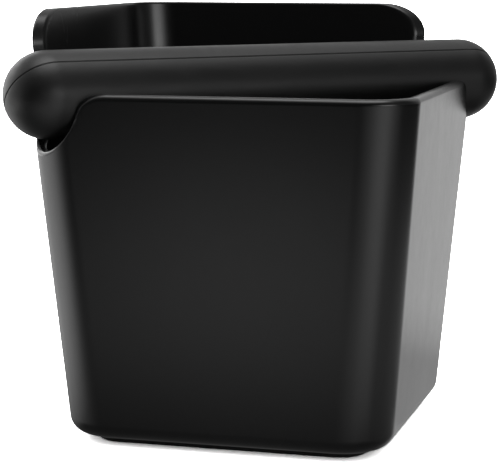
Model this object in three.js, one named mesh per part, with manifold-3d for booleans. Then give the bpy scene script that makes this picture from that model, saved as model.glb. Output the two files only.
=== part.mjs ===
// Espresso knock box: a moulded tub with two tall splash walls and two short
// walls, a rubber-covered knock bar lying on the diagonal in two U notches, and
// a non-slip rubber base pad. Millimetres, +Z up. The origin is the centre of
// the footprint, on the surface the pad stands on. +X runs along the front wall
// to the right, +Y runs to the back.
import * as THREE from 'three';
import { mergeVertices } from 'three/addons/utils/BufferGeometryUtils.js';
import Module from 'manifold-3d';

const wasm = await Module();
wasm.setup();

// ---- tub dimensions -----------------------------------------------------
const RIM_WIDTH = 160;          // outer width at the short rim
const BASE_WIDTH = 135.9;       // outer width at the tub's underside, walls extended down
const UNDERSIDE_Z = 3.2;        // tub's underside above the table
const SHORT_RIM_Z = 145.4;      // rim of the front and right walls
const TALL_RIM_Z = 177.5;       // rim of the back and left walls
const CORNER_R = 21;            // outer radius of the four upright corners
const WALL = 4.5;               // wall thickness
const FLOOR = 4.5;              // floor thickness
const FOOT_EDGE_R = 6.6;        // outer radius where the walls turn into the floor
const INNER_FLOOR_R = 8;        // inside radius where the walls meet the floor

// ---- knock bar dimensions -----------------------------------------------
const BAR_R = 17.94;            // radius over the rubber
const BAR_HALF = 118;           // half of the overall length
const BAR_Z = 144.1;            // height of the axis
const BAR_SHIFT = 1.7;          // offset from centre along the bar, towards the back right
const CORE_R = 8;               // steel core radius
const CORE_HALF = 92;           // half of the core's length
const CORE_CHAMFER = 1;
const CORE_GAP = 0.3;           // clearance between core and rubber
const PIN_HOLE_R = 2.5;         // core support holes in the rubber's underside
const PIN_HOLE_AT = 62;         // their distance from the bar's middle

// ---- notch dimensions ---------------------------------------------------
const NOTCH_GAP = 0.15;         // clearance between bar and notch flanks
const NOTCH_FLANK_DEG = 15;     // lean of the wedging flanks from upright
const NOTCH_DEPTH = 22.6;       // notch bottom below the bar's axis
const SHORT_LIP_R = 6.5;        // lip radius at the short walls
const TALL_LIP_ACROSS = 14.8;   // tall walls' lip, measured across the bar
const TALL_LIP_HIGH = 14.8;     // tall walls' lip, measured upwards

// ---- base pad dimensions ------------------------------------------------
const PAD_WIDTH = 114;
const PAD_CORNER_R = 11.5;
const PAD_POCKET = 1;           // depth of the shallow pocket the pad is bonded into
const PAD_BOND = 0.1;           // adhesive film thickness
const PAD_SIDE_GAP = 0.3;
const PAD_EDGE = 0.9;           // chamfer of the pad's lower edge
const GROOVE_DEEP = 0.9;
const GROOVE_WIDE = 3.2;
const GROOVE_MIN_R = 4;         // smallest outer corner radius of a groove
const GROOVE_MIN_INNER_R = 1.5; // smallest inner corner radius of a groove
const GROOVE_WIDTHS = [96, 74, 52]; // outer widths of the grip grooves

// How far each cutting solid runs past the surface it has to break through.
const OVERRUN = { inside: 12, aboveRim: 25, pocket: 5, groove: 3, pinHole: 4 };
const CUT_REACH = 170;          // reach of the wall cut from centre, along and across the bar

// Curve subdivision: per quarter turn, except the round counts, per full turn.
const STEPS = { tubCorner: 10, floorEdge: 5, cut: 12, padCorner: 8, groove: 5, dome: 9 };
const ROUND = { sleeve: 48, core: 32, pinHole: 16 };

// ---- materials ----------------------------------------------------------
const tubPlastic = new THREE.MeshStandardMaterial({
  color: 0x18191a, roughness: 0.38, metalness: 0,
});
const padRubber = new THREE.MeshStandardMaterial({
  color: 0x151515, roughness: 0.8, metalness: 0,
});
const sleeveRubber = new THREE.MeshStandardMaterial({
  color: 0x1c1d1d, roughness: 0.6, metalness: 0,
});
const coreSteel = new THREE.MeshStandardMaterial({
  color: 0x9a9da0, roughness: 0.35, metalness: 1,
});

// ---- helpers ------------------------------------------------------------
// Joins coincident vertices so the geometry closes into a solid; alters its input.
function toSolid(geometry) {
  geometry.deleteAttribute('normal');
  geometry.deleteAttribute('uv');
  const merged = mergeVertices(geometry, 1e-4);
  return new wasm.Manifold(new wasm.Mesh({
    numProp: 3,
    vertProperties: Float32Array.from(merged.attributes.position.array),
    triVerts: Uint32Array.from(merged.index.array),
  }));
}

function toGeometry(solid) {
  const { vertProperties, triVerts } = solid.getMesh();
  const geometry = new THREE.BufferGeometry();
  geometry.setAttribute('position',
    new THREE.BufferAttribute(Float32Array.from(vertProperties), 3));
  geometry.setIndex(new THREE.BufferAttribute(Uint32Array.from(triVerts), 1));
  geometry.computeVertexNormals();
  return geometry;
}

function namedMesh(name, geometry, material) {
  const mesh = new THREE.Mesh(geometry, material);
  mesh.name = name;
  return mesh;
}

function roundedSquare(half, radius) {
  const shape = new THREE.Shape();
  const centre = half - radius;
  shape.absarc(centre, -centre, radius, -Math.PI / 2, 0, false);
  shape.absarc(centre, centre, radius, 0, Math.PI / 2, false);
  shape.absarc(-centre, centre, radius, Math.PI / 2, Math.PI, false);
  shape.absarc(-centre, -centre, radius, Math.PI, Math.PI * 1.5, false);
  shape.closePath();
  return shape;
}

// Stack of rounded squares: levels is a list of [z, half width, corner radius].
// A prism with one step per level is extruded, then each step is resized.
function loft(levels, curveSegments) {
  const prismHalf = 50;
  const prismR = 20;
  const prismFlat = prismHalf - prismR;
  const steps = levels.length - 1;
  const geometry = new THREE.ExtrudeGeometry(roundedSquare(prismHalf, prismR), {
    depth: steps, steps, bevelEnabled: false, curveSegments,
  });
  const resize = (value, half, radius) => Math.sign(value)
    * ((half - radius) + (Math.abs(value) - prismFlat) / prismR * radius);
  const points = geometry.attributes.position;
  for (let i = 0; i < points.count; i++) {
    const [z, half, radius] = levels[Math.round(points.getZ(i))];
    const x = resize(points.getX(i), half, radius);
    const y = resize(points.getY(i), half, radius);
    points.setXYZ(i, x, y, z);
  }
  return toSolid(geometry);
}

// ---- tub ----------------------------------------------------------------
const taper = (RIM_WIDTH - BASE_WIDTH) / 2 / (SHORT_RIM_Z - UNDERSIDE_Z);
const outerHalf = (z) => BASE_WIDTH / 2 + taper * (z - UNDERSIDE_Z);

// Tapered block with a rounded lower edge, set in from the tub's outer face.
function taperedBlock({ bottom, top, edgeR, inset }) {
  const levels = [];
  for (let k = 0; k <= STEPS.floorEdge; k++) {
    const angle = (k / STEPS.floorEdge) * Math.PI / 2;
    const z = bottom + edgeR * (1 - Math.cos(angle));
    const totalInset = inset + edgeR * (1 - Math.sin(angle));
    levels.push([z, outerHalf(z) - totalInset, CORNER_R - totalInset]);
  }
  levels.push([top, outerHalf(top) - inset, CORNER_R - inset]);
  return loft(levels, STEPS.tubCorner);
}

// Cut profile seen along the bar: x is the distance across the bar (positive
// towards the front right), y is the height. It drops the short walls to
// their rim and opens the two U notches.
function wallCutProfile() {
  const flank = THREE.MathUtils.degToRad(NOTCH_FLANK_DEG);
  const notchHalf = BAR_R + NOTCH_GAP;
  // The bottom arc is tangent to both leaning flanks.
  const bottomDrop = (NOTCH_DEPTH - notchHalf) / (1 - Math.sin(flank));
  const bottomR = notchHalf - bottomDrop * Math.sin(flank);
  // The short lip is tangent to its flank and to the short rim.
  const lipDrop = SHORT_LIP_R - (SHORT_RIM_Z - BAR_Z);
  const lipX = (notchHalf + SHORT_LIP_R - lipDrop * Math.sin(flank)) / Math.cos(flank);
  // Below the knee the tall walls' upright flank starts to lean.
  const kneeDrop = notchHalf * (1 - Math.cos(flank)) / Math.sin(flank);
  const tallLipX = -notchHalf - TALL_LIP_ACROSS;
  const top = TALL_RIM_Z + OVERRUN.aboveRim;

  const cut = new THREE.Shape();
  cut.moveTo(CUT_REACH, SHORT_RIM_Z);
  cut.lineTo(CUT_REACH, top);
  cut.lineTo(tallLipX, top);
  cut.lineTo(tallLipX, TALL_RIM_Z);
  cut.absellipse(tallLipX, TALL_RIM_Z - TALL_LIP_HIGH,
    TALL_LIP_ACROSS, TALL_LIP_HIGH, Math.PI / 2, 0, true);
  cut.lineTo(-notchHalf, BAR_Z - kneeDrop);
  cut.absarc(0, BAR_Z - bottomDrop, bottomR, Math.PI + flank, -flank, false);
  cut.absarc(lipX, BAR_Z - lipDrop, SHORT_LIP_R, Math.PI - flank, Math.PI / 2, true);
  cut.closePath();
  return cut;
}

function wallCutter() {
  const geometry = new THREE.ExtrudeGeometry(wallCutProfile(), {
    depth: 2 * CUT_REACH, bevelEnabled: false, curveSegments: STEPS.cut,
  });
  geometry.translate(0, 0, -CUT_REACH);
  const across = new THREE.Vector3(Math.SQRT1_2, -Math.SQRT1_2, 0);
  const up = new THREE.Vector3(0, 0, 1);
  const along = new THREE.Vector3(-Math.SQRT1_2, -Math.SQRT1_2, 0);
  geometry.applyMatrix4(new THREE.Matrix4().makeBasis(across, up, along));
  return toSolid(geometry);
}

function padPocket() {
  const half = PAD_WIDTH / 2 + PAD_SIDE_GAP;
  const radius = PAD_CORNER_R + PAD_SIDE_GAP;
  return loft([
    [UNDERSIDE_Z - OVERRUN.pocket, half, radius],
    [UNDERSIDE_Z + PAD_POCKET, half, radius],
  ], STEPS.padCorner);
}

function makeTub() {
  const outside = taperedBlock({
    bottom: UNDERSIDE_Z, top: TALL_RIM_Z, edgeR: FOOT_EDGE_R, inset: 0,
  });
  const inside = taperedBlock({
    bottom: UNDERSIDE_Z + FLOOR,
    top: TALL_RIM_Z + OVERRUN.inside,
    edgeR: INNER_FLOOR_R,
    inset: WALL,
  });
  const solid = outside.subtract(inside).subtract(wallCutter()).subtract(padPocket());
  return namedMesh('tub', toGeometry(solid), tubPlastic);
}

// ---- base pad -----------------------------------------------------------
function grooveCutter(width) {
  const radius = Math.max(GROOVE_MIN_R, PAD_CORNER_R - (PAD_WIDTH - width) / 4);
  const innerR = Math.max(GROOVE_MIN_INNER_R, radius - GROOVE_WIDE);
  const ring = roundedSquare(width / 2, radius);
  const inner = roundedSquare(width / 2 - GROOVE_WIDE, innerR);
  ring.holes.push(new THREE.Path(inner.getPoints(STEPS.groove).reverse()));
  const geometry = new THREE.ExtrudeGeometry(ring, {
    depth: GROOVE_DEEP + OVERRUN.groove, bevelEnabled: false, curveSegments: STEPS.groove,
  });
  geometry.translate(0, 0, -OVERRUN.groove);
  return toSolid(geometry);
}

function makeBasePad() {
  const half = PAD_WIDTH / 2;
  let solid = loft([
    [0, half - PAD_EDGE, PAD_CORNER_R - PAD_EDGE],
    [PAD_EDGE, half, PAD_CORNER_R],
    [UNDERSIDE_Z + PAD_POCKET - PAD_BOND, half, PAD_CORNER_R],
  ], STEPS.padCorner);
  for (const width of GROOVE_WIDTHS) {
    solid = solid.subtract(grooveCutter(width));
  }
  return namedMesh('base_pad', toGeometry(solid), padRubber);
}

// ---- knock bar: rubber sleeve over a steel core, built along local Y ----
// Lathe profile of a rod with hemispherical ends.
function domeProfile(radius, half) {
  const upper = [];
  for (let k = 0; k < STEPS.dome; k++) {
    const angle = (k / STEPS.dome) * Math.PI / 2;
    upper.push(new THREE.Vector2(
      radius * Math.cos(angle), half - radius + radius * Math.sin(angle)));
  }
  upper.push(new THREE.Vector2(0, half));
  const lower = upper.map(({ x, y }) => new THREE.Vector2(x, -y)).reverse();
  return [...lower, ...upper];
}

// Chamfered rod: the core itself, or its cavity when grown by the gap.
function coreRod(gap) {
  const radius = CORE_R + gap;
  const half = CORE_HALF + gap;
  const profile = [
    [0, -half], [radius - CORE_CHAMFER, -half],
    [radius, -half + CORE_CHAMFER], [radius, half - CORE_CHAMFER],
    [radius - CORE_CHAMFER, half], [0, half],
  ].map(([x, y]) => new THREE.Vector2(x, y));
  return new THREE.LatheGeometry(profile, ROUND.core);
}

// Hole from the bar's axis down through the underside.
function pinHole(y) {
  const depth = BAR_R + OVERRUN.pinHole;
  const geometry = new THREE.CylinderGeometry(PIN_HOLE_R, PIN_HOLE_R, depth, ROUND.pinHole);
  geometry.rotateX(Math.PI / 2);
  geometry.translate(0, y, -depth / 2);
  return toSolid(geometry);
}

function makeSleeve() {
  let solid = toSolid(new THREE.LatheGeometry(domeProfile(BAR_R, BAR_HALF), ROUND.sleeve));
  solid = solid.subtract(toSolid(coreRod(CORE_GAP)));
  for (const side of [-1, 1]) {
    solid = solid.subtract(pinHole(side * PIN_HOLE_AT));
  }
  return namedMesh('bar_sleeve', toGeometry(solid), sleeveRubber);
}

// Turned on to the diagonal from front left to back right.
function makeBar() {
  const bar = new THREE.Group();
  bar.add(makeSleeve(), namedMesh('bar_core', coreRod(0), coreSteel));
  bar.rotation.z = -Math.PI / 4;
  bar.position.set(BAR_SHIFT * Math.SQRT1_2, BAR_SHIFT * Math.SQRT1_2, BAR_Z);
  return bar;
}

const knockBox = new THREE.Group();
knockBox.name = 'espresso_knock_box';
knockBox.add(makeTub(), makeBasePad(), makeBar());

export default knockBox;
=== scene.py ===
"""Knock box: a tapered square tub with a rubber bar lying across it, on a rubber base pad.

It stands on z = 0, centred on the z axis. The two short walls face +x and -y, the two tall
ones -x and +y, and the bar runs from corner to corner along +x+y. The front is -y.
"""
import math

import bpy
import numpy as np
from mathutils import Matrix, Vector


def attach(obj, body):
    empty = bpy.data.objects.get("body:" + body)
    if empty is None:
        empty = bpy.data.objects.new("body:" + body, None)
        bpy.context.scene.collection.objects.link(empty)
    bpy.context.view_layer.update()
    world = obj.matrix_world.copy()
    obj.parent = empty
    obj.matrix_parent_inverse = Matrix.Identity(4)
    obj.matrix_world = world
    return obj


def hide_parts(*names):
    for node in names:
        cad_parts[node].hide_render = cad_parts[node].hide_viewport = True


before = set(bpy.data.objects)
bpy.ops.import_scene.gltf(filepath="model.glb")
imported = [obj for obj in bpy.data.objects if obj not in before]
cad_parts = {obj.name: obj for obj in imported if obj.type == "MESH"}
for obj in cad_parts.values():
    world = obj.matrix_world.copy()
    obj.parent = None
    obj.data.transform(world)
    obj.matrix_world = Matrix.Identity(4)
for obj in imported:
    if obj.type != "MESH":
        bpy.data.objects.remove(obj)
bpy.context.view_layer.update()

MM = 0.001                              # the dimensions below are in mm, the scene in m

# ---- dimensions --------------------------------------------------------------------
UNDERSIDE = 3.2
SHORT_RIM, TALL_RIM = 145.4, 177.5      # heights of the short and of the tall walls
BASE_HALF, RIM_HALF = 67.95, 80.0       # tub's half widths at the underside and the short rim
TAPER = (RIM_HALF - BASE_HALF) / (SHORT_RIM - UNDERSIDE)
TAPER_COS = 1 / math.sqrt(1 + TAPER * TAPER)
CORNER_R, WALL, FLOOR = 21.0, 4.5, 4.5
FOOT_R, CAVITY_FOOT_R = 6.6, 8.0        # roundings around the bottom, outside and inside

BAR_R, BAR_HALF = 17.86, 117.92         # the domed ends are included in the length
BAR_Z, BAR_SHIFT = 144.1, 1.7           # height of the axis, shift along +x+y
CORE_R, CORE_HALF = 8.3, 92.3           # hollow for the core
PIN_R, PIN_AT = 2.5, 62.0               # holes in the bar's underside, from its middle
PARTING = math.radians(50)              # mould's parting plane, rising towards the short walls

# The notch under the bar: an arc, with flanks that are tangent to it and widen upwards.
FLANK = math.radians(15)                # flanks' lean from the vertical
FLANK_GAP = 18.09                       # from the bar's axis square to a flank
NOTCH_DEPTH = 22.6                      # from the bar's axis to the arc's bottom
ARC_DROP = (NOTCH_DEPTH - FLANK_GAP) / (1 - math.sin(FLANK))    # arc's centre below the axis
ARC_R = FLANK_GAP - ARC_DROP * math.sin(FLANK)
SHORT_LIP_R, TALL_LIP_R = 6.5, 14.8     # where the notch turns into the rims

ALONG = np.array([1, 1, 0]) / math.sqrt(2)      # along the bar
ACROSS = np.array([1, -1, 0]) / math.sqrt(2)    # across it, towards the short walls
UP = np.array([0, 0, 1.0])
BAR_AXIS = np.array([0, 0, BAR_Z])
BAR_MID = BAR_AXIS + ALONG * BAR_SHIFT

PAD_HALF, PAD_CORNER_R = 57.0, 11.5
PAD_TOP = UNDERSIDE - 0.04
GROOVE_HALVES = (26.0, 37.0, 48.0)      # half widths of the grooves' outer edges
GROOVE_WIDTH, GROOVE_DEPTH = 3.2, 0.9


# ---- mesh helpers ------------------------------------------------------------------
def make_object(name, verts, faces, normals=None):
    """Smooth object from vertices in mm, with one shading normal per vertex if given."""
    mesh = bpy.data.meshes.new(name)
    points = (np.asarray(verts, float) * MM).tolist()
    mesh.from_pydata(points, [], [list(map(int, face)) for face in faces])
    mesh.validate()
    mesh.update()
    mesh.polygons.foreach_set("use_smooth", [True] * len(mesh.polygons))
    if normals is not None:
        mesh.normals_split_custom_set_from_vertices(normals.tolist())
    mesh.update()
    obj = bpy.data.objects.new(name, mesh)
    bpy.context.scene.collection.objects.link(obj)
    return obj


def ring_faces(rings, count):
    """Faces of a closed skin: a first tip, rings of count vertices each, a last tip."""
    pairs = [(j, (j + 1) % count) for j in range(count)]
    faces = [(0, 1 + after, 1 + j) for j, after in pairs]
    for i in range(rings - 1):
        start = 1 + i * count
        faces += [(start + j, start + after, start + after + count, start + j + count)
                  for j, after in pairs]
    last = 1 + (rings - 1) * count
    return faces + [(last + j, last + after, last + count) for j, after in pairs]


def unit(vectors):
    return vectors / np.maximum(np.linalg.norm(vectors, axis=1, keepdims=True), 1e-12)


def gradient(field, points, step=0.02):
    slopes = np.empty_like(points)
    for axis in range(3):
        offset = np.zeros(3)
        offset[axis] = step
        slopes[:, axis] = (field(points + offset) - field(points - offset)) / (2 * step)
    return slopes


def surface_nets(axes, values, field):
    """Closed quad mesh of field < 0 on a rectilinear grid.

    Each vertex goes to the point that fits the surface's tangent planes around it best, so
    that tight edges come out straight.
    """
    xs, ys, zs = axes
    solid = values < 0
    nx, ny, nz = values.shape
    filled = np.zeros((nx - 1, ny - 1, nz - 1), np.uint8)       # solid corners of each cell
    for i in (0, 1):
        for j in (0, 1):
            for k in (0, 1):
                filled += solid[i:nx - 1 + i, j:ny - 1 + j, k:nz - 1 + k]
    cells = np.nonzero((filled > 0) & (filled < 8))
    count = len(cells[0])
    cell_id = -np.ones(filled.shape, np.int64)
    cell_id[cells] = np.arange(count)

    # sum up the planes where the surface crosses the twelve edges of each cell
    total, hits = np.zeros((count, 3)), np.zeros(count)
    matrix, target = np.zeros((count, 3, 3)), np.zeros((count, 3))
    for axis in range(3):
        for a in (0, 1):
            for b in (0, 1):
                corner = [a, b]
                corner.insert(axis, 0)
                i0, j0, k0 = (cell + c for cell, c in zip(cells, corner))
                corner[axis] = 1
                i1, j1, k1 = (cell + c for cell, c in zip(cells, corner))
                f0, f1 = values[i0, j0, k0], values[i1, j1, k1]
                m = np.nonzero((f0 < 0) != (f1 < 0))[0]
                f0, f1 = f0[m], f1[m]
                p0 = np.stack([xs[i0[m]], ys[j0[m]], zs[k0[m]]], 1)
                p1 = np.stack([xs[i1[m]], ys[j1[m]], zs[k1[m]]], 1)
                negative = f0 < 0
                for _ in range(3):                       # regula falsi along the edge
                    hit = p0 + (f0 / (f0 - f1))[:, None] * (p1 - p0)
                    f_hit = field(hit)
                    same = (f_hit < 0) == negative
                    p0 = np.where(same[:, None], hit, p0)
                    f0 = np.where(same, f_hit, f0)
                    p1 = np.where(same[:, None], p1, hit)
                    f1 = np.where(same, f1, np.where(f_hit == f0, 1e-9, f_hit))
                normal = unit(gradient(field, hit))
                total[m] += hit
                hits[m] += 1
                matrix[m] += normal[:, :, None] * normal[:, None, :]
                target[m] += normal * (normal * hit).sum(1, keepdims=True)
    pull = 0.03                                          # weak pull to the crossings' mean
    matrix += pull * np.eye(3)
    target += pull * (total / hits[:, None])
    verts = np.linalg.solve(matrix, target[:, :, None])[:, :, 0]
    low = np.stack([line[cell] for line, cell in zip(axes, cells)], 1)
    high = np.stack([line[cell + 1] for line, cell in zip(axes, cells)], 1)
    margin = 0.3 * (high - low)
    verts = np.clip(verts, low - margin, high + margin)

    # one quad for each grid edge that crosses the surface
    quads = []
    for axis in range(3):
        near, far = [slice(1, -1)] * 3, [slice(1, -1)] * 3
        near[axis], far[axis] = slice(None, -1), slice(1, None)
        inside = solid[tuple(near)]
        edges = np.stack(np.nonzero(inside != solid[tuple(far)]))
        corners = []
        for a, b in ((0, 0), (1, 0), (1, 1), (0, 1)):
            step = np.zeros((3, 1), np.int64)
            step[(axis + 1) % 3], step[(axis + 2) % 3] = a, b
            corners.append(cell_id[tuple(edges + step)])
        quad = np.stack(corners, 1)
        flip = ~inside[tuple(edges)]
        quad[flip] = quad[flip][:, ::-1]
        quads.append(quad)
    return verts, np.concatenate(quads)


def settle(field, points, rounds=5):
    """Moves points on to field = 0, by at most 1 mm a round."""
    for _ in range(rounds):
        slope = gradient(field, points)
        square = np.maximum((slope * slope).sum(1), 1e-3)
        move = (field(points) / square)[:, None] * slope
        length = np.linalg.norm(move, axis=1, keepdims=True)
        points = points - move * np.minimum(1, 1.0 / np.maximum(length, 1e-9))
    return points


def relax(points, quads, field, rounds=3):
    """Evens out the spacing, sliding along the surface and leaving tight edges in place."""
    count = len(points)
    for _ in range(rounds):
        normal = unit(gradient(field, points))
        total, links, bend = np.zeros_like(points), np.zeros(count), np.zeros(count)
        for a, b in ((0, 1), (1, 2), (2, 3), (3, 0)):
            for here, there in ((quads[:, a], quads[:, b]), (quads[:, b], quads[:, a])):
                for axis in range(3):
                    total[:, axis] += np.bincount(here, points[there, axis], count)
                links += np.bincount(here, minlength=count)
                bend += np.bincount(here, 1 - (normal[here] * normal[there]).sum(1), count)
        step = 0.5 * (total / links[:, None] - points)
        step -= normal * (step * normal).sum(1, keepdims=True)
        step *= np.clip(1.2 - bend / 0.6, 0.0, 1.0)[:, None]
        points = settle(field, points + step, 3)
    return points


# ---- tub: the moulding as one implicit solid, with every edge rounded ----------------
def round_max(a, b, r):
    """Intersection of two half spaces with the edge between them rounded to radius r."""
    return np.minimum(np.maximum(a, b), -r) + np.hypot(np.maximum(a + r, 0), np.maximum(b + r, 0))


def smooth_min(a, b, width):
    return np.minimum(a, b) - np.maximum(width - np.abs(a - b), 0) ** 2 / (4 * width)


def rounded_square(x, y, half, r):
    dx, dy = np.abs(x) - (half - r), np.abs(y) - (half - r)
    beyond = np.hypot(np.maximum(dx, 0), np.maximum(dy, 0))
    return beyond + np.minimum(np.maximum(dx, dy), 0) - r


def ease(value, start, end):
    t = np.clip((value - start) / (end - start), 0, 1)
    return t * t * (3 - 2 * t)


def tub_field(points):
    """Roughly the distance to the tub's surface, negative inside the plastic."""
    x, y, z = points[:, 0], points[:, 1], points[:, 2]
    half = BASE_HALF + TAPER * (z - UNDERSIDE)
    outer = round_max(rounded_square(x, y, half, CORNER_R) * TAPER_COS, UNDERSIDE - z, FOOT_R)
    cavity = round_max(rounded_square(x, y, half - WALL, CORNER_R - WALL) * TAPER_COS,
                       UNDERSIDE + FLOOR - z, CAVITY_FOOT_R)

    across, below = (x - y) / math.sqrt(2), BAR_Z - z
    off = np.abs(across)
    on_arc = off * math.sin(FLANK) < (below - ARC_DROP) * math.cos(FLANK)
    notch = np.where(on_arc, ARC_R - np.hypot(across, below - ARC_DROP),
                     FLANK_GAP - (off * math.cos(FLANK) + below * math.sin(FLANK)))
    short_side = round_max(z - SHORT_RIM, notch, SHORT_LIP_R)
    tall_side = smooth_min(notch, FLANK_GAP + across, 1.5)      # upright above the bar's axis
    tall_side = round_max(z - TALL_RIM, tall_side, TALL_LIP_R)
    cut = np.where(across > 0, short_side, tall_side)

    # outer edge: well rounded along the rims and under the bar, nearly sharp where the
    # notch's sides meet the walls
    rim = np.where(across > 0, ease(z, SHORT_RIM - 16, SHORT_RIM - 0.5),
                   ease(off, 30, 40) * ease(z, TALL_RIM - 5, TALL_RIM - 1))
    under_bar = ease(-off, -15.5, -6)
    outer_edge_r = 0.95 + 1.75 * rim + 0.95 * under_bar
    inner_edge_r = 0.9
    return np.maximum(round_max(outer, cut, outer_edge_r), round_max(-cavity, cut, inner_edge_r))


def grid_lines(spans):
    """Grid positions from (start, end, step) spans that follow each other."""
    out = []
    for start, end, step in spans:
        count = max(1, int(round((end - start) / step)))
        out += list(np.linspace(start, end, count + 1)[:-1])
    return np.array(out + [spans[-1][1]])


def build_tub():
    coarse = 1.0
    side = grid_lines([(44, 56, 2.0), (56, 84.5, 0.38 * coarse)])
    level = np.concatenate([-side[::-1], grid_lines([(-44, 44, 4.0)])[1:-1], side])
    height = grid_lines([(1.6, 17.6, 0.9), (17.6, 118, 4.0), (118, 148, 0.38 * coarse),
                         (148, 173, 0.5 * coarse), (173, 178.6, 0.4 * coarse)])
    axes = (level, level, height)
    grid = np.stack(np.meshgrid(*axes, indexing="ij"), -1).reshape(-1, 3)
    values = tub_field(grid).reshape([len(line) for line in axes])
    verts, quads = surface_nets(axes, values, tub_field)
    verts = relax(settle(tub_field, verts), quads, tub_field)
    verts = settle(tub_field, verts, 3)
    return make_object("tub_moulding", verts, quads, unit(gradient(tub_field, verts)))


tub = build_tub()
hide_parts("tub")
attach(tub, "box")


# ---- knock bar: rubber with domed ends, a parting line, a hollow and two holes --------
def around(angle):
    """Direction square to the bar, angle up from the short walls' side."""
    return math.cos(angle) * ACROSS + math.sin(angle) * UP


def bar_angles():
    """Even steps around the bar, with finer ones at the two parting lines."""
    fine = (0.11, 0.22, 0.34, 0.5, 0.75, 1.1)            # mm to each side of a line
    offsets = [-o for o in fine[::-1]] + [0] + list(fine)
    angles = list(np.linspace(0, 2 * math.pi, 144, endpoint=False))
    for line in (PARTING, PARTING + math.pi):
        angles = [a for a in angles
                  if abs((a - line + math.pi) % (2 * math.pi) - math.pi) * BAR_R > 1.35]
        angles += [(line + o / BAR_R) % (2 * math.pi) for o in offsets]
    return sorted(angles)


def bar_outline():
    """Vertices, faces and normals of the bar's outside."""
    groove_depth, groove_width = 0.36, 0.24
    ridge_height, ridge_at, ridge_width = 0.035, 0.55, 0.25      # beside the groove
    off_plane = around(PARTING + math.pi / 2)
    verts, normals = [], []

    def add_point(along, radius, normal_along, normal_out, angle):
        out = around(angle)
        normal = ALONG * normal_along + normal_out * out
        point = BAR_AXIS + ALONG * (along + BAR_SHIFT) + radius * out
        off = radius * math.sin(angle - PARTING)         # distance from the parting plane
        bell = math.exp(-(off / groove_width) ** 2)
        ridge = math.exp(-((abs(off) - ridge_at) / ridge_width) ** 2)
        verts.append(point - normal * (groove_depth * bell - ridge_height * ridge))
        slope = groove_depth * bell * (-2 * off / groove_width ** 2)
        tilted = normal + (off_plane - normal * (off_plane @ normal)) * slope
        normals.append(tilted / np.linalg.norm(tilted))

    # rings: place along the bar, radius, normal's parts along and out
    straight = BAR_HALF - BAR_R
    dome = [(-straight - BAR_R * math.sin(t), BAR_R * math.cos(t), -math.sin(t), math.cos(t))
            for t in np.radians(np.concatenate([[89.2, 87.5], np.linspace(85, 0, 30)]))]
    rings = dome + [(s, BAR_R, 0.0, 1.0) for s in np.linspace(-straight, straight, 41)[1:-1]]
    rings += [(-s, r, -n_along, n_out) for s, r, n_along, n_out in dome[::-1]]
    angles = bar_angles()
    add_point(-BAR_HALF, 0.0, -1.0, 0.0, 0.0)
    for ring in rings:
        for angle in angles:
            add_point(*ring, angle)
    add_point(BAR_HALF, 0.0, 1.0, 0.0, 0.0)
    faces = [face[::-1] for face in ring_faces(len(rings), len(angles))]    # facing out
    return np.array(verts), faces, np.array(normals)


def lathe(name, profile, origin, axis, side_a, side_b, count):
    """Closed turned solid; profile is (along, radius), with both ends on the axis."""
    verts = [origin + axis * profile[0][0]]
    for along, r in profile[1:-1]:
        for t in np.linspace(0, 2 * math.pi, count, endpoint=False):
            verts.append(origin + axis * along + r * (math.cos(t) * side_a + math.sin(t) * side_b))
    verts.append(origin + axis * profile[-1][0])
    return make_object(name, np.array(verts), ring_faces(len(profile) - 2, count))


def bar_cutters():
    """The core's hollow with chamfered ends, and two flared holes into it from below."""
    chamfer = 1
    hollow = [(-CORE_HALF, 0), (-CORE_HALF, CORE_R - chamfer), (-CORE_HALF + chamfer, CORE_R),
              (CORE_HALF - chamfer, CORE_R), (CORE_HALF, CORE_R - chamfer), (CORE_HALF, 0)]
    flared = PIN_R + 0.6
    hole = [(-BAR_R - 4, 0), (-BAR_R - 4, flared), (-BAR_R + 0.55, flared),
            (-BAR_R + 1.1, PIN_R), (-3, PIN_R), (-3, 0)]
    core = lathe("cut_core", hollow, BAR_MID, ALONG, ACROSS, UP, 48)
    core.data.flip_normals()            # its axes are left-handed, so its faces came out inward
    return [core] + [lathe("cut_pin", hole, BAR_MID + ALONG * sign * PIN_AT, UP, ACROSS, ALONG, 32)
                     for sign in (-1, 1)]


def shade_sleeve(mesh, outline, outline_normals):
    """Exact normals on the rubber's outside, the faces' own inside the holes."""
    places = np.empty(len(mesh.vertices) * 3)
    mesh.vertices.foreach_get("co", places)
    places = places.reshape(-1, 3) / MM
    from_mid = places - BAR_MID
    straight = BAR_HALF - BAR_R
    spine = np.clip(from_mid @ ALONG, -straight, straight)
    radial = from_mid - np.outer(spine, ALONG)
    outside = np.linalg.norm(radial, axis=1) > BAR_R - 0.4
    normals = unit(radial)
    known = {tuple(np.round(v, 3)): normal for v, normal in zip(outline, outline_normals)}
    for i, place in enumerate(places):
        normals[i] = known.get(tuple(np.round(place, 3)), normals[i])
    corner_normals = np.zeros((len(mesh.loops), 3))
    for face in mesh.polygons:
        face.use_smooth = True
        is_outside = all(outside[vertex] for vertex in face.vertices)
        for corner, vertex in zip(face.loop_indices, face.vertices):
            corner_normals[corner] = normals[vertex] if is_outside else face.normal
    mesh.normals_split_custom_set(corner_normals.tolist())


def build_sleeve():
    verts, faces, normals = bar_outline()
    obj = make_object("knock_bar_rubber", verts, faces)
    cutters = bar_cutters()
    for cutter in cutters:
        cut = obj.modifiers.new("cut", "BOOLEAN")
        cut.operation, cut.solver, cut.object = "DIFFERENCE", "EXACT", cutter
    graph = bpy.context.evaluated_depsgraph_get()
    cut_mesh = bpy.data.meshes.new_from_object(obj.evaluated_get(graph), depsgraph=graph)
    obj.modifiers.clear()
    obj.data = cut_mesh
    for cutter in cutters:
        bpy.data.objects.remove(cutter, do_unlink=True)
    shade_sleeve(cut_mesh, verts, normals)
    return obj


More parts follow.
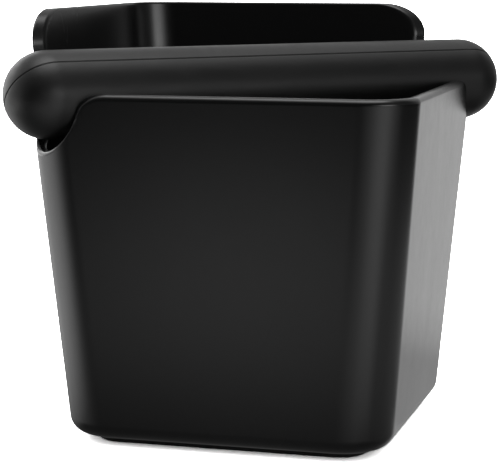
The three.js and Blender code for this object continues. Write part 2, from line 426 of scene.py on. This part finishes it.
sleeve = build_sleeve()
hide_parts("bar_sleeve")
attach(sleeve, "bar")


# ---- base pad: rubber with rounded edges and grooves in its underside -----------------
def square_ring(half, r, z, steps=10):
    points = []
    for sx, sy, start in ((1, -1, -90), (1, 1, 0), (-1, 1, 90), (-1, -1, 180)):
        for t in np.radians(np.linspace(start, start + 90, steps + 1)):
            points.append((sx * (half - r) + r * math.cos(t),
                           sy * (half - r) + r * math.sin(t), z))
    return points


def pad_profile():
    """Rings from the middle of the underside to the top: half width, corner radius, height."""
    rings = [(14.0, 2.5, 0.0)]
    for outer in GROOVE_HALVES:
        outer_r = max(4, PAD_CORNER_R - (PAD_HALF - outer) / 2)
        inner_r = max(1.5, outer_r - GROOVE_WIDTH)
        inner = outer - GROOVE_WIDTH
        rings += [(inner - 0.25, inner_r, 0.0), (inner - 0.06, inner_r, 0.07),
                  (inner, inner_r, 0.25), (inner, inner_r, 0.7),
                  (outer - 2.9, inner_r, GROOVE_DEPTH), (outer - 0.3, outer_r, GROOVE_DEPTH),
                  (outer, outer_r, 0.7), (outer, outer_r, 0.25),
                  (outer + 0.06, outer_r, 0.07), (outer + 0.25, outer_r, 0.0)]
    r = 0.9                                              # lower edge
    for t in np.radians(np.linspace(0, 90, 6)):
        out = r * math.sin(t)
        rings.append((PAD_HALF - r + out, PAD_CORNER_R - r + out, r - r * math.cos(t)))
    r = 0.35                                             # upper edge
    for t in np.radians(np.linspace(0, 90, 4)):
        out = r * math.cos(t)
        rings.append((PAD_HALF - r + out, PAD_CORNER_R - r + out, PAD_TOP - r + r * math.sin(t)))
    return rings + [(30.0, 4.0, PAD_TOP)]


def build_pad():
    rings = [square_ring(*ring) for ring in pad_profile()]
    verts = [(0, 0, 0.0)] + sum(rings, []) + [(0, 0, PAD_TOP)]
    obj = make_object("base_pad_rubber", verts, ring_faces(len(rings), len(rings[0])))
    obj.data.set_sharp_from_angle(angle=math.radians(50))
    return obj


pad = build_pad()
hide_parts("base_pad")
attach(pad, "box")


# ---- shader helpers ------------------------------------------------------------------
class Nodes:
    """Writes a node tree. Any value may be a number, a colour or another node's output."""

    def __init__(self, tree):
        self.tree = tree
        tree.nodes.clear()

    def feed(self, node, inputs):
        for key, value in inputs.items():
            if isinstance(value, bpy.types.NodeSocket):
                self.tree.links.new(value, node.inputs[key])
            else:
                node.inputs[key].default_value = value

    def new(self, kind, inputs=None, **settings):
        node = self.tree.nodes.new(kind)
        for key, value in settings.items():
            setattr(node, key, value)
        self.feed(node, inputs or {})
        return node

    def calc(self, operation, a, b=0.0, clamp=False):
        return self.new("ShaderNodeMath", {0: a, 1: b, 2: 0.0},
                        operation=operation, use_clamp=clamp).outputs[0]

    def times(self, a, b):
        return self.calc("MULTIPLY", a, b)

    def plus(self, a, b, clamp=False):
        return self.calc("ADD", a, b, clamp)

    def noise(self, vector, scale, detail=4.0, rough=0.55, distort=0.0):
        return self.new("ShaderNodeTexNoise", {
            "Vector": vector, "Scale": scale, "Detail": detail, "Roughness": rough,
            "Distortion": distort}).outputs["Fac"]

    def remap(self, value, span=(0.3, 0.7), to=(0.0, 1.0)):
        """Clamped linear map; the default span is where most of a noise lies."""
        return self.new("ShaderNodeMapRange", {
            "Value": value, "From Min": span[0], "From Max": span[1],
            "To Min": to[0], "To Max": to[1]}).outputs["Result"]

    def ramp(self, value, stops):
        """Grey ramp through (position, level) stops."""
        node = self.new("ShaderNodeValToRGB", {"Fac": value})
        elements = node.color_ramp.elements
        while len(elements) > 1:
            elements.remove(elements[-1])
        for i, (position, level) in enumerate(stops):
            element = elements.new(position) if i else elements[0]
            element.position, element.color = position, (level, level, level, 1)
        return node.outputs["Color"]

    def mix(self, factor, a, b):
        return self.new("ShaderNodeMix", {0: factor, 6: a, 7: b}, data_type="RGBA").outputs[2]

    def blend(self, factor, a, b):
        return self.new("ShaderNodeMix", {0: factor, 2: a, 3: b}, data_type="FLOAT").outputs[0]

    def mapping(self, vector, scale=(1, 1, 1), turn=(0, 0, 0)):
        return self.new("ShaderNodeMapping", {
            "Vector": vector, "Scale": scale, "Rotation": turn}).outputs["Vector"]

    def split(self, vector):
        return self.new("ShaderNodeSeparateXYZ", {0: vector}).outputs

    def bump(self, height, strength, distance, under=None):
        inputs = {"Strength": strength, "Distance": distance, "Height": height}
        if under is not None:
            inputs["Normal"] = under
        return self.new("ShaderNodeBump", inputs).outputs["Normal"]


def new_material(name):
    """Material, its nodes, its Principled shader and the object coordinates."""
    material = bpy.data.materials.new(name)
    material.use_nodes = True
    nodes = Nodes(material.node_tree)
    shader = nodes.new("ShaderNodeBsdfPrincipled")
    nodes.new("ShaderNodeOutputMaterial", {"Surface": shader.outputs[0]})
    return material, nodes, shader, nodes.new("ShaderNodeTexCoord").outputs["Object"]


# ---- materials -----------------------------------------------------------------------
def tub_plastic():
    """Glossy black, with wiped streaks, hairline marks and slightly worn edges."""
    material, nodes, shader, place = new_material("tub_plastic")
    cloud = nodes.noise(place, scale=14, detail=3, rough=0.5)
    fine = nodes.noise(place, scale=1500, detail=2, rough=0.5)
    medium = nodes.noise(place, scale=260, detail=3)
    streaks = nodes.noise(nodes.mapping(place, scale=(1, 1, 0.28)),
                          scale=34, detail=5, rough=0.62, distort=0.6)
    geometry = nodes.new("ShaderNodeNewGeometry")
    edge = nodes.remap(geometry.outputs["Pointiness"], span=(0.51, 0.56))
    cracks = nodes.new("ShaderNodeTexVoronoi", feature="DISTANCE_TO_EDGE")
    nodes.feed(cracks, {
        "Vector": nodes.mapping(place, scale=(3, 3, 0.6), turn=(0.3, 0.2, 0.7)), "Scale": 20})
    hair = nodes.remap(cracks.outputs["Distance"], span=(0.0, 0.006), to=(1.0, 0.0))
    patches = nodes.remap(nodes.noise(place, scale=9, detail=2), span=(0.52, 0.66))
    hair = nodes.times(hair, patches)

    edge_tint, edge_rough, hair_rough = 0.35, 0.05, 0.05     # how strongly the wear shows
    color = nodes.mix(nodes.remap(cloud), (0.0012, 0.00125, 0.0013, 1),
                      (0.0018, 0.0019, 0.0019, 1))
    color = nodes.mix(nodes.times(edge, edge_tint), color, (0.010, 0.010, 0.011, 1))
    rough = nodes.remap(streaks, to=(0.222, 0.244))
    rough = nodes.plus(rough, nodes.remap(medium, to=(-0.008, 0.008)))
    rough = nodes.plus(rough, nodes.times(hair, hair_rough), clamp=True)
    rough = nodes.plus(rough, nodes.times(edge, edge_rough), clamp=True)
    normal = nodes.bump(fine, strength=0.10, distance=0.00006)
    normal = nodes.bump(medium, strength=0.06, distance=0.0002, under=normal)
    normal = nodes.bump(hair, strength=0.05, distance=0.0001, under=normal)
    nodes.feed(shader, {"Base Color": color, "Roughness": rough, "IOR": 1.5, "Normal": normal})
    return material


def bar_rubber():
    """Satin black rubber with pale dust in its scuffs."""
    material, nodes, shader, place = new_material("bar_rubber")
    cloud = nodes.noise(place, scale=30)
    grain = nodes.noise(place, scale=900, detail=3, rough=0.6)
    medium = nodes.noise(place, scale=150, rough=0.6)
    scuff = nodes.noise(nodes.mapping(place, scale=(1, 1, 2.2)),
                        scale=60, detail=6, rough=0.68, distort=0.8)
    color = nodes.mix(nodes.remap(cloud), (0.0022, 0.0023, 0.0023, 1), (0.0038, 0.0038, 0.0037, 1))
    dust = nodes.remap(scuff, span=(0.60, 0.74), to=(0.0, 0.28))
    normal = nodes.bump(grain, strength=0.22, distance=0.0001)
    nodes.feed(shader, {
        "Base Color": nodes.mix(dust, color, (0.013, 0.0126, 0.012, 1)),
        "Roughness": nodes.remap(scuff, to=(0.36, 0.48)),
        "IOR": 1.45,
        "Normal": nodes.bump(medium, strength=0.10, distance=0.0004, under=normal)})
    return material


def base_rubber():
    """Dull dark grey rubber."""
    material, nodes, shader, place = new_material("base_rubber")
    cloud = nodes.noise(place, scale=60, detail=5, rough=0.6)
    grain = nodes.noise(place, scale=1300, detail=3, rough=0.6)
    nodes.feed(shader, {
        "Base Color": nodes.mix(nodes.remap(cloud), (0.0035, 0.0035, 0.0034, 1),
                                (0.0075, 0.0075, 0.0072, 1)),
        "Roughness": nodes.remap(cloud, to=(0.72, 0.86)),
        "IOR": 1.38,
        "Normal": nodes.bump(grain, strength=0.35, distance=0.00012)})
    return material


def core_steel():
    """Bare steel with a fine grain."""
    material, nodes, shader, place = new_material("core_steel")
    grain = nodes.noise(nodes.mapping(place, turn=(0, 0, -math.pi / 4)),
                        scale=700, detail=3, rough=0.6)
    nodes.feed(shader, {
        "Base Color": nodes.mix(nodes.remap(grain), (0.50, 0.51, 0.52, 1), (0.60, 0.61, 0.62, 1)),
        "Metallic": 1.0,
        "Roughness": nodes.remap(grain, to=(0.28, 0.42)),
        "Normal": nodes.bump(grain, strength=0.1, distance=0.0001)})
    return material


for piece, finish in ((tub, tub_plastic()), (sleeve, bar_rubber()), (pad, base_rubber())):
    piece.data.materials.clear()
    piece.data.materials.append(finish)
steel = core_steel()
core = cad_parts["bar_core"]
if len(core.material_slots) == 0:
    core.data.materials.append(steel)
for slot in core.material_slots:
    slot.material = steel


# ---- studio light --------------------------------------------------------------------
# Azimuths are in degrees: 0 is the front (-y), 90 the right (+x), +-180 the back (+y).
# Sky brightness near the horizon: (azimuth, level)
LOW_SKY = [
    (-180, 1.0), (-165, 1.3), (-150, 2.2), (-128, 2.2), (-118, 2.2), (-108, 2.3), (-94, 2.0),
    (-80, 1.1), (-70, 1.0), (-55, 0.7), (-42, 0.15), (-20, 0.02), (2, 0.04), (12, 0.10),
    (22, 0.22), (30, 1.0), (38, 2.9), (46, 4.7), (58, 5.2), (64, 4.2), (72, 1.0), (82, 0.25),
    (100, 0.15), (135, 0.15), (150, 0.3), (160, 0.48), (172, 0.6), (180, 0.95)]
# Sky brightness higher up: (azimuth, level)
MID_SKY = [
    (-180, 0.45), (-150, 0.4), (-125, 0.5), (-100, 0.8), (-70, 0.8), (-50, 0.35), (-35, 0.08),
    (0, 0.04), (40, 0.08), (55, 0.2), (65, 0.28), (75, 0.24), (95, 0.14), (120, 0.12),
    (150, 0.3), (180, 0.45)]
# Floor brightness in reflections: (azimuth of the ray, level)
FLOOR_GLOW = [
    (-180, 1.0), (-170, 0.75), (-155, 0.40), (-143, 0.60), (-131, 0.90), (-119, 1.20),
    (-107, 1.45), (-95, 1.85), (-83, 2.0), (-71, 1.95), (-60, 1.38), (-50, 0.66), (-42, 0.26),
    (-32, 0.06), (-22, 0.02), (-10, 0.03), (2, 0.16), (12, 0.38), (24, 0.60), (36, 0.98),
    (46, 1.2), (58, 1.2), (68, 0.80), (78, 0.46), (98, 0.28), (135, 0.26), (152, 0.30),
    (160, 0.50), (166, 0.95), (172, 1.04), (180, 1.04)]
# The object's shade on the floor: (metres from its foot, level)
FOOT_SHADE = [(0.0, 0.0), (0.01, 0.18), (0.03, 0.42), (0.06, 0.62), (0.10, 0.82), (0.18, 1.0)]
# Fall-off on the floor behind on the right: (metres from the z axis, level)
RIGHT_FALL = [(0.2, 1.0), (0.3, 0.93), (0.4, 0.70), (0.5, 0.44), (0.6, 0.24), (0.8, 0.15)]
# Pool of light on the floor in front: (metres towards -y, level)
FRONT_POOL = [
    (0.0, 0.08), (0.08, 0.15), (0.091, 0.18), (0.106, 0.22), (0.121, 0.25), (0.136, 0.30),
    (0.168, 0.40), (0.221, 0.53), (0.275, 0.60), (0.339, 0.58), (0.41, 0.54), (0.478, 0.42),
    (0.52, 0.31), (0.57, 0.18), (0.64, 0.11), (1.0, 0.04)]


def sky_angles(nodes, direction):
    """Azimuth as 0 to 1 for -180 to 180 degrees, and elevation in degrees."""
    x, y, z = nodes.split(direction)
    azimuth = nodes.calc("ARCTAN2", x, nodes.times(y, -1.0))
    turn = nodes.plus(nodes.calc("DIVIDE", azimuth, 2 * math.pi), 0.5)
    return turn, nodes.times(nodes.calc("ARCSINE", z), 180 / math.pi)


def by_azimuth(nodes, turn, table, scale=1.0):
    """Level from a table; scale keeps levels above 1 inside the ramp's range."""
    level = nodes.ramp(turn, [((azimuth + 180) / 360, value / scale) for azimuth, value in table])
    return level if scale == 1.0 else nodes.times(level, scale)


def sector(nodes, turn, edges, inside=1.0):
    """Mask that fades to inside over the first two azimuths, and back over the last two."""
    outside = 1.0 - inside
    levels = (outside, outside, inside, inside, outside, outside)
    return by_azimuth(nodes, turn, list(zip((-180, *edges, 180), levels)))


def reflected_sky(nodes, direction):
    """Sky as glossy surfaces see it: each layer is laid over the ones before."""
    turn, elevation = sky_angles(nodes, direction)
    low = by_azimuth(nodes, turn, LOW_SKY, scale=6.0)
    mid = by_azimuth(nodes, turn, MID_SKY, scale=4.0)

    # low band all round, which reaches higher and down to the horizon at the back
    band = nodes.times(nodes.remap(elevation, span=(0.5, 3.5)),
                       nodes.remap(elevation, span=(10, 15), to=(1.0, 0.0)))
    behind = sector(nodes, turn, (-110, -98, 125, 140), inside=0.0)
    high_band = nodes.remap(elevation, span=(9, 20), to=(1.0, 0.0))
    band = nodes.calc("MAXIMUM", band, nodes.times(behind, high_band))
    level = nodes.blend(band, mid, low)

    upper_level, rear_level, key_level = 0.55, 0.62, 2.7
    level = nodes.blend(nodes.remap(elevation, span=(46, 60)), level, upper_level)
    rear = sector(nodes, turn, (-150, -138, 138, 150), inside=0.0)
    rear = nodes.times(rear, nodes.times(
        nodes.remap(elevation, span=(19, 26)),
        nodes.remap(elevation, span=(50, 62), to=(1.0, 0.0))))
    level = nodes.blend(rear, level, rear_level)

    # large soft box overhead, brighter towards the back
    y = nodes.split(direction)[1]
    level = nodes.blend(nodes.remap(elevation, span=(62, 70)), level,
                        nodes.remap(y, span=(-0.25, 0.12), to=(2.4, 3.9)))

    # wide, shallow soft box behind on the left
    key = sector(nodes, turn, (-156, -148, -104, -96))
    key = nodes.times(key, nodes.times(
        nodes.remap(elevation, span=(14, 18)),
        nodes.remap(elevation, span=(28, 34), to=(1.0, 0.0))))
    return nodes.blend(key, level, key_level)


def build_world():
    world = bpy.data.worlds.new("studio")
    bpy.context.scene.world = world
    world.use_nodes = True
    nodes = Nodes(world.node_tree)
    diffuse_level, backdrop_level = 1.0, 1.05
    glossy = reflected_sky(nodes, nodes.new("ShaderNodeTexCoord").outputs["Generated"])
    ray = nodes.new("ShaderNodeLightPath").outputs
    level = nodes.blend(ray["Is Glossy Ray"], diffuse_level, glossy)
    level = nodes.blend(ray["Is Camera Ray"], level, backdrop_level)
    sky = nodes.new("ShaderNodeBackground", {"Color": (1, 1, 1, 1), "Strength": level})
    nodes.new("ShaderNodeOutputWorld", {"Surface": sky.outputs[0]})


build_world()


# ---- floor ---------------------------------------------------------------------------
def reflected_floor(nodes, geometry):
    """Floor as glossy walls see it: bright by the side lights, dim towards the front."""
    ray = nodes.new("ShaderNodeVectorMath", {0: geometry["Incoming"], "Scale": -1.0},
                    operation="SCALE")
    turn, elevation = sky_angles(nodes, ray.outputs["Vector"])
    glow = by_azimuth(nodes, turn, FLOOR_GLOW, scale=2.0)
    x, y, _ = nodes.split(geometry["Position"])
    radius = nodes.calc("SQRT", nodes.plus(nodes.times(x, x), nodes.times(y, y)))

    # the object's own shade close to it; foot_half is in metres
    foot_half = 0.066
    reach = nodes.calc("MAXIMUM", nodes.calc("ABSOLUTE", x), nodes.calc("ABSOLUTE", y))
    foot = nodes.calc("SUBTRACT", reach, foot_half)
    shade = nodes.ramp(foot, FOOT_SHADE)
    # fall-off far out, other than behind the object
    deep = nodes.remap(radius, span=(0.75, 1.3), to=(1.0, 0.3))
    behind = sector(nodes, turn, (-160, -140, 140, 158), inside=0.0)
    open_floor = nodes.remap(foot, span=(-0.002, 0.004), to=(0.0, 0.62))     # dark under the tub
    shade = nodes.calc("MAXIMUM", shade, nodes.times(behind, open_floor))
    shade = nodes.times(shade, nodes.calc("MAXIMUM", deep, behind))
    # steep rays are dimmer, most of all at the front left
    shade = nodes.times(shade, nodes.remap(elevation, span=(-50, -24), to=(0.22, 1.0)))
    front_left = sector(nodes, turn, (-104, -86, -40, -25))
    steep = nodes.times(front_left, nodes.remap(elevation, span=(-29, -21), to=(0.72, 0.0)))
    shade = nodes.times(shade, nodes.calc("SUBTRACT", 1.0, steep))
    # far out behind on the left it stays bright
    off_left = sector(nodes, turn, (-162, -152, -104, -94))
    off_left = nodes.times(off_left, nodes.remap(elevation, span=(-8.5, -6), to=(0.0, 2.2)))
    # behind on the right it starts brighter and falls off sooner
    right_gain = 1.4
    fall = nodes.ramp(radius, RIGHT_FALL)
    right = sector(nodes, turn, (80, 92, 150, 162))
    change = nodes.calc("SUBTRACT", nodes.times(fall, right_gain), 1.0)
    fall = nodes.plus(1.0, nodes.times(right, change))
    glow = nodes.plus(nodes.times(nodes.times(glow, shade), fall), off_left)

    # a soft pool of light in front, whose middle drifts to the left further out; in metres
    pool_x, pool_drift, pool_width = 0.030, 0.28, 0.085
    ahead = nodes.times(y, -1.0)
    pool = nodes.ramp(ahead, FRONT_POOL)
    middle = nodes.calc("SUBTRACT", pool_x, nodes.times(ahead, pool_drift))
    off = nodes.calc("DIVIDE", nodes.calc("SUBTRACT", x, middle), pool_width)
    bell = nodes.calc("POWER", math.e, nodes.times(nodes.times(off, off), -0.5))
    in_front = nodes.calc("GREATER_THAN", ahead, 0.0)
    return nodes.plus(glow, nodes.times(nodes.times(pool, bell), in_front))


def pale_floor():
    material = bpy.data.materials.new("pale_floor")
    material.use_nodes = True
    nodes = Nodes(material.node_tree)
    geometry = nodes.new("ShaderNodeNewGeometry").outputs
    glow = nodes.new("ShaderNodeEmission", {
        "Color": (1, 1, 1, 1), "Strength": reflected_floor(nodes, geometry)})
    paper = nodes.noise(geometry["Position"], scale=3, detail=3, rough=0.5)
    matt = nodes.new("ShaderNodeBsdfDiffuse", {
        "Color": nodes.mix(paper, (0.90, 0.90, 0.90, 1), (0.94, 0.94, 0.94, 1))})
    ray = nodes.new("ShaderNodeLightPath").outputs
    unseen = nodes.new("ShaderNodeMixShader", {
        0: ray["Is Glossy Ray"], 1: matt.outputs[0], 2: glow.outputs[0]})
    # the camera sees the floor overexposed to white
    white = nodes.new("ShaderNodeBsdfDiffuse", {"Color": (5, 5, 5, 1)})
    shown = nodes.new("ShaderNodeMixShader", {
        0: ray["Is Camera Ray"], 1: unseen.outputs[0], 2: white.outputs[0]})
    nodes.new("ShaderNodeOutputMaterial", {"Surface": shown.outputs[0]})
    return material


def build_floor():
    half, z = 14.0, -0.00004            # metres; a hair under the pad, so they share no plane
    mesh = bpy.data.meshes.new("floor")
    corners = [(-half, -half, z), (half, -half, z), (half, half, z), (-half, half, z)]
    mesh.from_pydata(corners, [], [(0, 1, 2, 3)])
    floor = bpy.data.objects.new("floor", mesh)
    bpy.context.scene.collection.objects.link(floor)
    mesh.materials.append(pale_floor())


build_floor()
bpy.context.scene.view_settings.view_transform = "Standard"


# ---- camera: in front, a little to the right and above ---------------------------------
def build_camera():
    azimuth, elevation = math.radians(15.56), math.radians(8.31)
    distance, aim_height = 820.51, 75
    shift_right, shift_up = -4.69, 6.83         # of the aim, in the picture's plane
    back = Vector((math.sin(azimuth) * math.cos(elevation),
                   -math.cos(azimuth) * math.cos(elevation), math.sin(elevation)))
    right = Vector((math.cos(azimuth), math.sin(azimuth), 0))
    target = Vector((0, 0, aim_height)) + right * shift_right + back.cross(right) * shift_up
    data = bpy.data.cameras.new("camera")
    camera = bpy.data.objects.new("camera", data)
    bpy.context.scene.collection.objects.link(camera)
    camera.location = (target + back * distance) * MM
    camera.rotation_euler = back.to_track_quat("Z", "Y").to_euler()
    data.sensor_fit = "HORIZONTAL"
    data.sensor_width = 36.0
    data.lens = 137.5128
    data.clip_start, data.clip_end = 0.01, 60
    bpy.context.scene.camera = camera


build_camera()
